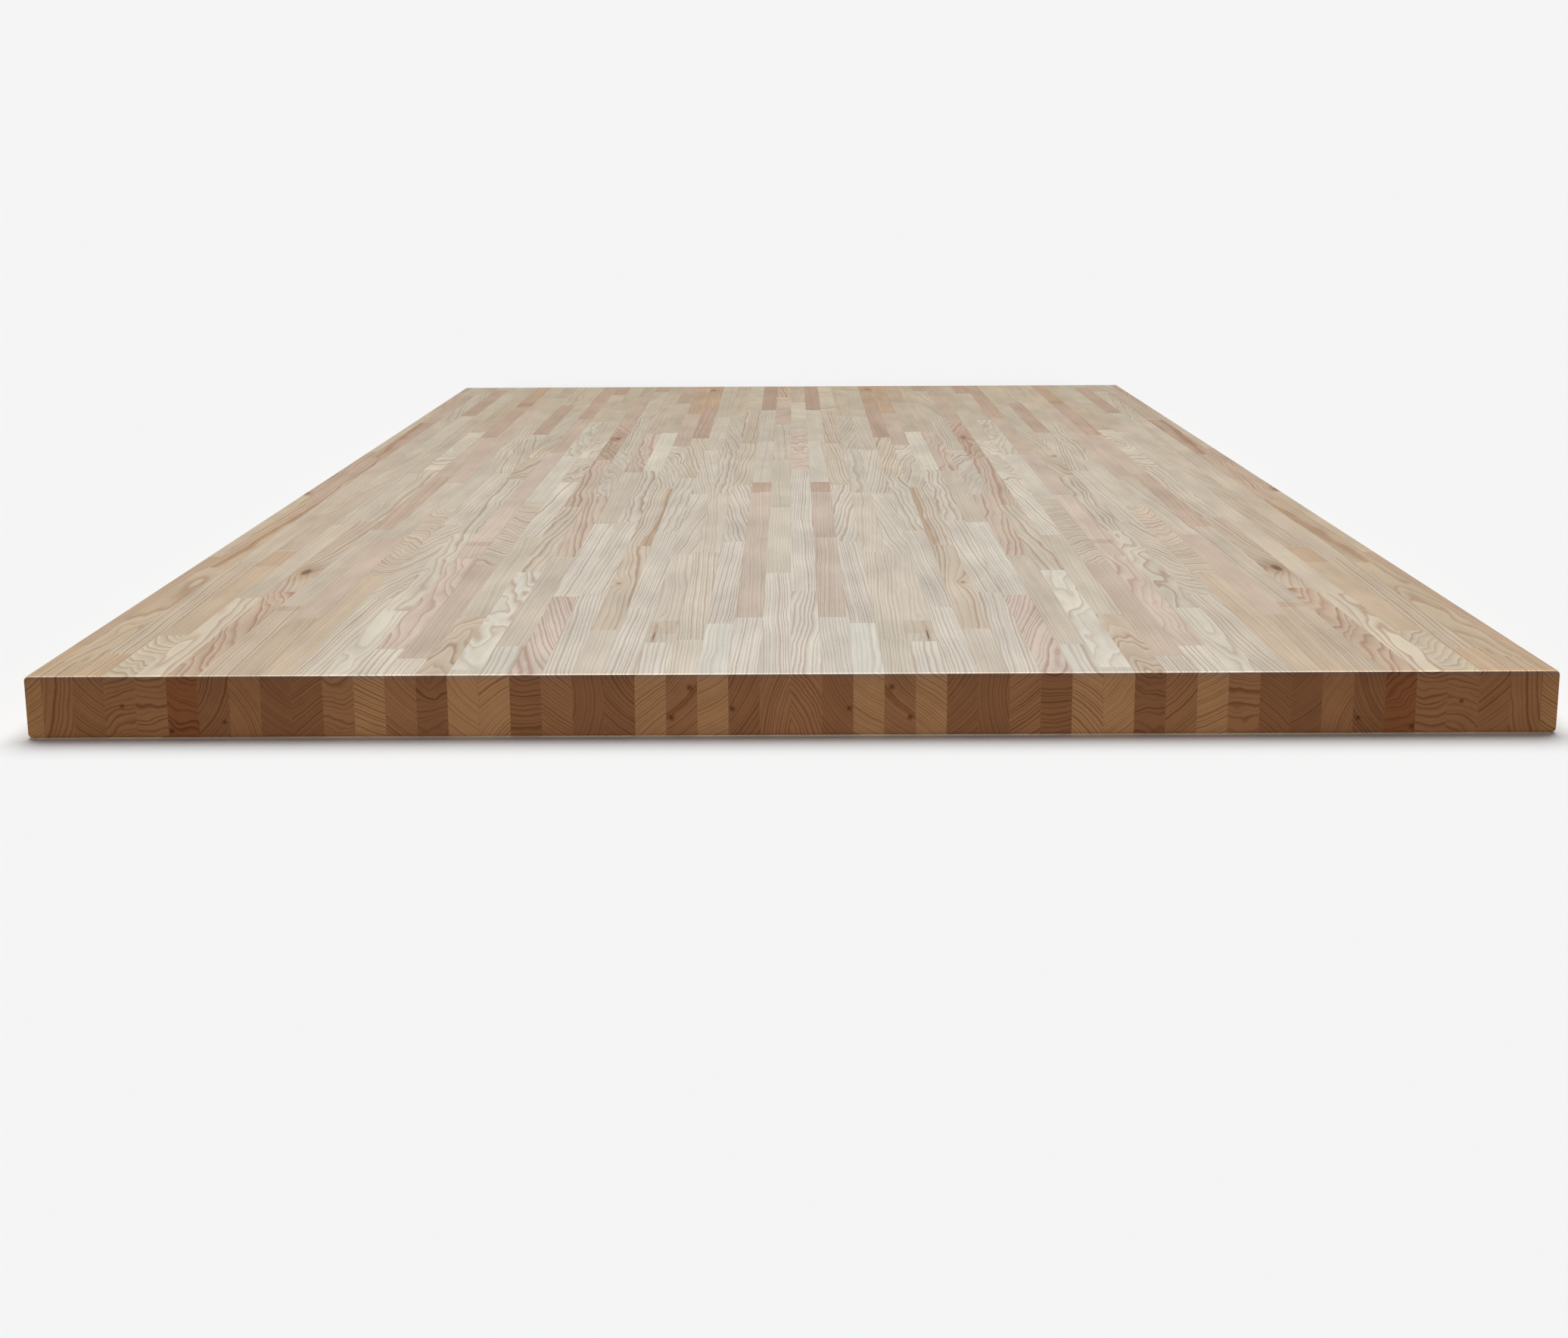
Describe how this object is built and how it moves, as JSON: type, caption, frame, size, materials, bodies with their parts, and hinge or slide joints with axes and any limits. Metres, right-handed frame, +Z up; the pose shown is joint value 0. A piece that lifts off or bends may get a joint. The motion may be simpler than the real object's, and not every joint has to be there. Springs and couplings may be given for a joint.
{
  "type": "butcher block table top",
  "caption": "Long rectangular butcher block table top: finger-jointed hardwood staves on edge, glued side by side in rails, with eased edges and a flat underside for a base.",
  "frame": {"origin": "middle of the underside", "axes": "+Z up out of the work surface, +Y along the grain from the near end to the far end, +X across the rails to the right"},
  "size_m": [0.9144, 1.8288, 0.0381],
  "materials": {
    "ash_wood": "satin clear oil on planed ash",
    "wood_glue": "dried wood glue, sanded flush"
  },
  "bodies": {
    "root": {"left_rail_01": "ash_wood", "left_rail_02": "ash_wood", "left_rail_03": "ash_wood", "left_rail_04": "ash_wood", "left_rail_05": "ash_wood", "left_rail_06": "ash_wood", "left_rail_07": "ash_wood", "left_rail_08": "ash_wood", "left_rail_09": "ash_wood", "left_rail_10": "ash_wood", "left_rail_11": "ash_wood", "left_rail_12": "ash_wood", "left_rail_13": "ash_wood", "left_rail_14": "ash_wood", "left_rail_15": "ash_wood", "left_rail_16": "ash_wood", "left_rail_17": "ash_wood", "left_rail_18": "ash_wood", "left_rail_19": "ash_wood", "left_rail_20": "ash_wood", "left_rail_21": "ash_wood", "left_rail_22": "ash_wood", "left_rail_23": "ash_wood", "left_rail_24": "ash_wood", "left_edge_rail": "ash_wood", "right_rail_01": "ash_wood", "right_rail_02": "ash_wood", "right_rail_03": "ash_wood", "right_rail_04": "ash_wood", "right_rail_05": "ash_wood", "right_rail_06": "ash_wood", "right_rail_07": "ash_wood", "right_rail_08": "ash_wood", "right_rail_09": "ash_wood", "right_rail_10": "ash_wood", "right_rail_11": "ash_wood", "right_rail_12": "ash_wood", "right_rail_13": "ash_wood", "right_rail_14": "ash_wood", "right_rail_15": "ash_wood", "right_rail_16": "ash_wood", "right_rail_17": "ash_wood", "right_rail_18": "ash_wood", "right_rail_19": "ash_wood", "right_rail_20": "ash_wood", "right_rail_21": "ash_wood", "right_rail_22": "ash_wood", "right_rail_23": "ash_wood", "right_rail_24": "ash_wood", "right_edge_rail": "ash_wood", "edge_glue_lines": "wood_glue"}
  },
  "joints": []
}
